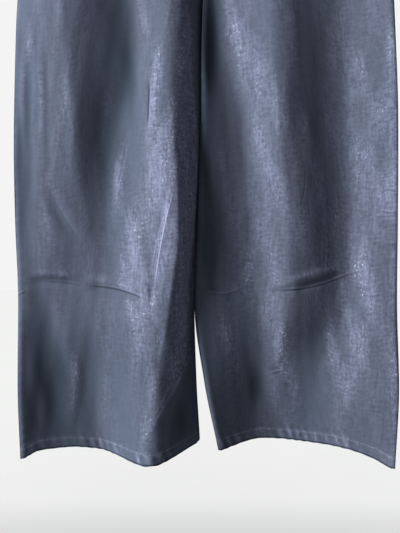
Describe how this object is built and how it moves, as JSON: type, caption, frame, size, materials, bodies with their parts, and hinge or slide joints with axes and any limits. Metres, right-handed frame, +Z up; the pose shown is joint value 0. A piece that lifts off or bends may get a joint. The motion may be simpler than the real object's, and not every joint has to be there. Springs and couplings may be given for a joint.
{
  "type": "wide leg jeans",
  "caption": "Wide straight-leg jeans hanging by the waistband, front seen, with soft folds down each leg, knee creases and a turned-up hem.",
  "frame": {"origin": "middle of the waistband's top edge, where the garment is held", "axes": "+Z up along the centre front, -Y the way the front faces, +X the wearer's left"},
  "size_m": [0.567, 0.098, 1.043],
  "materials": {
    "denim": "dark indigo twill, softly satiny, with fine upright slubs",
    "button_metal": "aged dull metal",
    "zip_tape": "matt woven tape"
  },
  "bodies": {
    "root": {"front_right": "denim", "back_right": "denim", "yoke_right": "denim", "pocket_facing_right": "denim", "back_pocket_right": "denim", "hem_right": "denim", "belt_loop_front_right": "denim", "belt_loop_back_right": "denim", "front_left": "denim", "back_left": "denim", "yoke_left": "denim", "pocket_facing_left": "denim", "back_pocket_left": "denim", "hem_left": "denim", "belt_loop_front_left": "denim", "belt_loop_back_left": "denim", "belt_loop_back_centre": "denim", "waistband": "denim", "fly_shield": "denim", "button": "button_metal", "zip": "zip_tape"}
  },
  "joints": []
}
